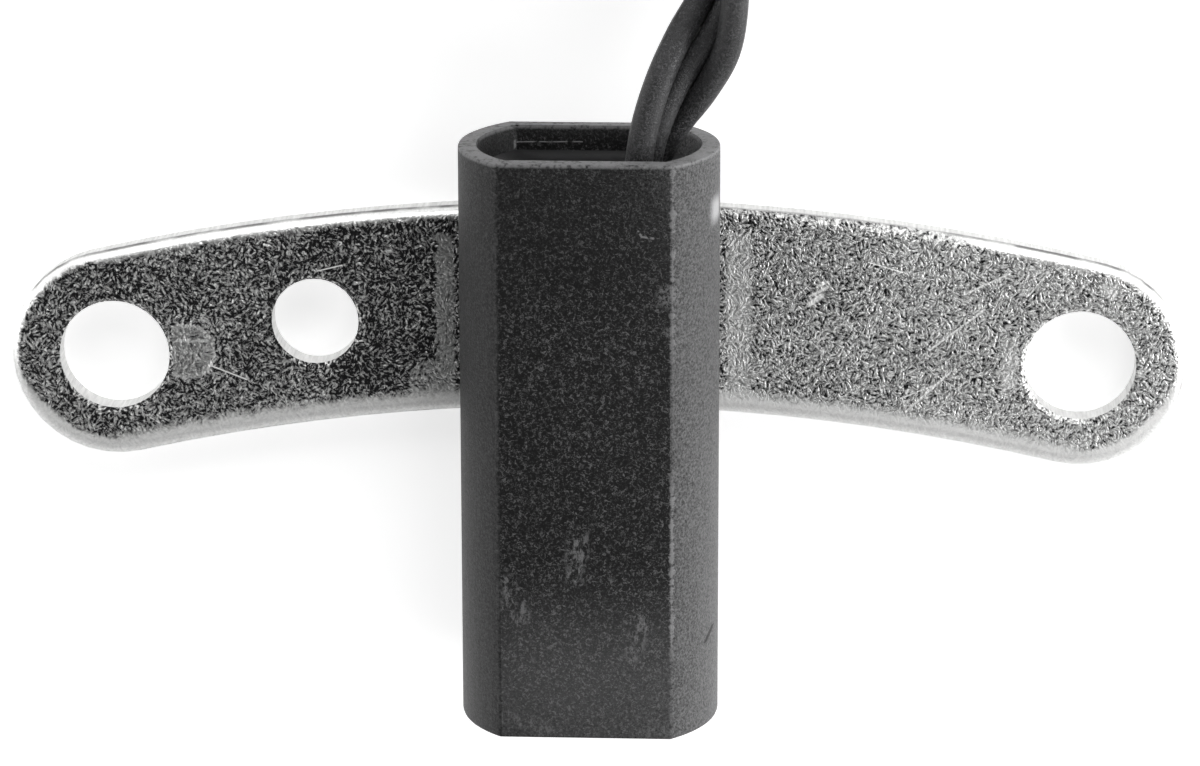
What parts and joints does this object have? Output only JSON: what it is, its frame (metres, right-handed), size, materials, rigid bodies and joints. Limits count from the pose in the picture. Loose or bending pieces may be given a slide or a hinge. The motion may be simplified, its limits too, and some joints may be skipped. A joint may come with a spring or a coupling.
{
  "type": "crankshaft position sensor",
  "caption": "Potted black sensor probe with two flats on a curved zinc-plated bolt-on bracket, with a coiled three-wire pigtail and a sealed connector.",
  "frame": {"origin": "midway between the two bolt holes, on the bracket's back face", "axes": "+X along the bracket from the locating hole's side to the other, +Y along the probe from its sensing end to its open mouth, +Z out of the bracket's front face"},
  "size_m": [0.0742, 0.1163, 0.0143],
  "materials": {
    "zinc_plate": "zinc-plated, short crystalline scratches",
    "black_moulding": "fine-grained black moulding",
    "potting": "dark cast resin",
    "wire_insulation": "dark grey satin insulation",
    "natural_moulding": "natural moulding",
    "epoxy": "black epoxy",
    "nickel": "nickel-plated magnet",
    "mild_steel": "turned steel",
    "board": "green board lacquer",
    "ceramic_tan": "fired ceramic",
    "ceramic_black": "glazed ceramic",
    "connector_moulding": "satin black moulding",
    "tinned_brass": "tin-plated",
    "silicone": "satin silicone",
    "white_moulding": "satin white moulding"
  },
  "bodies": {
    "root": {"bias_magnet": "nickel", "bracket": "zinc_plate", "circuit_board": "board", "connector_housing": "connector_moulding", "element_carrier": "natural_moulding", "filter_capacitor_1": "ceramic_tan", "filter_capacitor_2": "ceramic_tan", "hall_ic": "epoxy", "housing": "black_moulding", "pole_piece": "mild_steel", "potting_compound": "potting", "pull_up_resistor": "ceramic_black", "terminal_1": "tinned_brass", "terminal_2": "tinned_brass", "terminal_3": "tinned_brass", "terminal_lock": "white_moulding", "wire_1_lead": "wire_insulation", "wire_1_tail": "wire_insulation", "wire_2_lead": "wire_insulation", "wire_2_tail": "wire_insulation", "wire_3_lead": "wire_insulation", "wire_3_tail": "wire_insulation", "wire_coil": "wire_insulation", "wire_seal_1": "silicone", "wire_seal_2": "silicone", "wire_seal_3": "silicone"}
  },
  "joints": []
}
